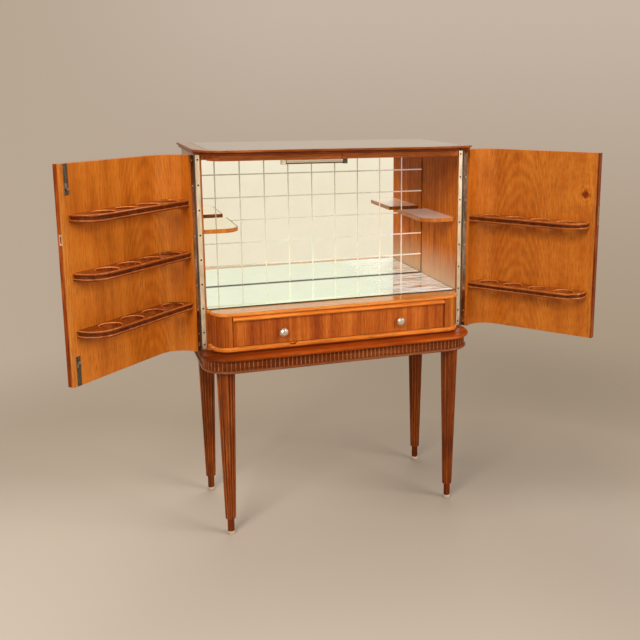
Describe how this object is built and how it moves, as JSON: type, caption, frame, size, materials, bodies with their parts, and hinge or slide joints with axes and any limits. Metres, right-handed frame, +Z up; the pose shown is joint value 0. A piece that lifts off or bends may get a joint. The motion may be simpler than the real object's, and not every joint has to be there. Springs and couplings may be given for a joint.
{
  "type": "bar cabinet",
  "caption": "Free-standing bar cabinet on fluted legs: bowed doors with glass racks open on a mirror-backed bay with side shelves, a lamp and a drawer.",
  "frame": {"origin": "on the floor, in the middle of the space that the cabinet takes with its doors as they rest", "axes": "+X to the right as seen from the front, +Y to the back, +Z up"},
  "size_m": [1.658, 0.6542, 1.254],
  "materials": {
    "leg_wood": "dark red-brown, polished",
    "apron_wood": "red-brown, polished",
    "bead_wood": "orange-brown, polished",
    "ledge_wood": "brown, polished",
    "case_wood": "walnut veneer, polished",
    "front_wood": "walnut veneer, polished",
    "door_wood": "walnut veneer, polished",
    "rack_wood": "brown, polished",
    "lipping_wood": "light edge strip, polished",
    "inner_wood": "plain, waxed",
    "back_wood": "plain, unpolished",
    "top_glass": "painted on its underside",
    "mirror": "silvered glass",
    "lamp_fitting": "dark",
    "lamp_tube": "opal",
    "nickel": "dull nickel",
    "steel": "darkened",
    "brass": "polished",
    "cut_glass": "cut in facets",
    "antique_brass": "aged",
    "glide_plastic": "cream"
  },
  "bodies": {
    "case": {"apron_back": "apron_wood", "apron_bead": "bead_wood", "apron_front": "apron_wood", "apron_side_left": "apron_wood", "apron_side_right": "apron_wood", "back_mirror": "mirror", "back_panel": "back_wood", "case_bottom": "bead_wood", "case_side_left": "case_wood", "case_side_right": "case_wood", "corner_post_left": "front_wood", "corner_post_right": "front_wood", "deck_board": "bead_wood", "deck_glass": "mirror", "drawer_guides": "inner_wood", "glides": "glide_plastic", "header_rail": "ledge_wood", "hinge_case_left": "nickel", "hinge_case_right": "nickel", "lamp_base": "lamp_fitting", "lamp_tube": "lamp_tube", "ledge_board": "ledge_wood", "leg_back_left": "leg_wood", "leg_back_right": "leg_wood", "leg_front_left": "leg_wood", "leg_front_right": "leg_wood", "shelf_edge_left": "lipping_wood", "shelf_edge_right": "lipping_wood", "shelf_left": "case_wood", "shelf_right": "case_wood", "top_board": "ledge_wood", "top_glass": "top_glass"},
    "drawer": {"drawer_back": "inner_wood", "drawer_bottom": "inner_wood", "drawer_front": "front_wood", "drawer_lip": "bead_wood", "drawer_side_left": "inner_wood", "drawer_side_right": "inner_wood", "knob_left": "cut_glass", "knob_right": "cut_glass", "knob_rosettes": "antique_brass"},
    "door_left": {"bolt_plate_bottom": "brass", "bolt_plate_top": "brass", "door_left": "door_wood", "door_left_lipping": "lipping_wood", "hinge_door_left": "steel", "lock_keeper": "antique_brass", "rack_left_bottom": "rack_wood", "rack_left_middle": "rack_wood", "rack_left_top": "rack_wood"},
    "door_right": {"door_right": "door_wood", "door_right_lipping": "lipping_wood", "hinge_door_right": "steel", "lock_case": "antique_brass", "lock_escutcheon": "antique_brass", "rack_right_bottom": "rack_wood", "rack_right_top": "rack_wood"},
    "bolt_top": {"bolt_top": "brass"},
    "bolt_bottom": {"bolt_bottom": "brass"},
    "lock_bolt": {"lock_bolt": "antique_brass"}
  },
  "joints": [
    {"name": "door_left_swing", "type": "hinge", "parent": "case", "child": "door_left", "pos_m": [-0.43222, -0.02491, 0.9], "axis": [0, 0, -1], "range_deg": [-136.2, 33.8]},
    {"name": "door_right_swing", "type": "hinge", "parent": "case", "child": "door_right", "pos_m": [0.46778, -0.02491, 0.9], "axis": [0, 0, 1], "range_deg": [-128.4, 41.6]},
    {"name": "drawer_slide", "type": "slide", "parent": "case", "child": "drawer", "axis": [0, -1, 0], "range_m": [0, 0.26]},
    {"name": "bolt_top_slide", "type": "slide", "parent": "door_left", "child": "bolt_top", "axis": [0, 0, 1], "range_m": [0, 0.012]},
    {"name": "bolt_bottom_slide", "type": "slide", "parent": "door_left", "child": "bolt_bottom", "axis": [0, 0, -1], "range_m": [0, 0.012]},
    {"name": "lock_bolt_throw", "type": "slide", "parent": "door_right", "child": "lock_bolt", "axis": [0.6211, -0.7837, 0], "range_m": [0, 0.007]}
  ]
}
